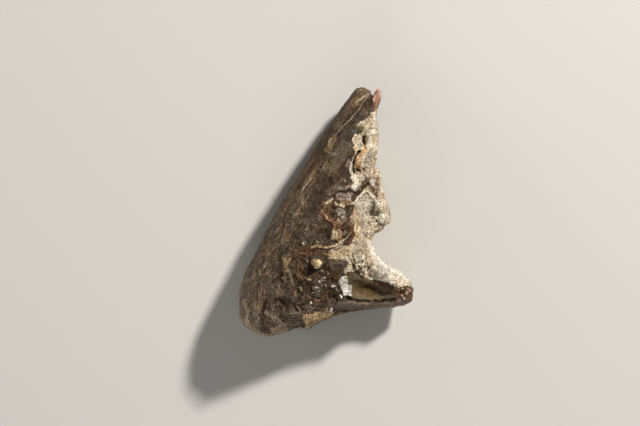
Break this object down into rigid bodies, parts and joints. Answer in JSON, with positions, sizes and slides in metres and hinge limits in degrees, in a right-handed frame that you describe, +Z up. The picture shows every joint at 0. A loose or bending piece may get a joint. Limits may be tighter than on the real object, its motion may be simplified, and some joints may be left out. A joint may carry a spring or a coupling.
{
  "type": "fossil skull fragment",
  "caption": "Wedge of a fossil marine animal skull with one smooth flank, a crushed broken face, a pointed splinter and an arm beside a deep bite; it lies on its worn back.",
  "frame": {"origin": "on the ground under the middle of the fragment's outline, seen from above", "axes": "+Y along the fragment to its narrow end, +X to the arm and the broken side, +Z up, away from the worn back that it lies on"},
  "size_m": [0.0337, 0.0482, 0.0161],
  "materials": {
    "fossil_bone": "matte"
  },
  "bodies": {
    "root": {"skull": "fossil_bone"}
  },
  "joints": []
}
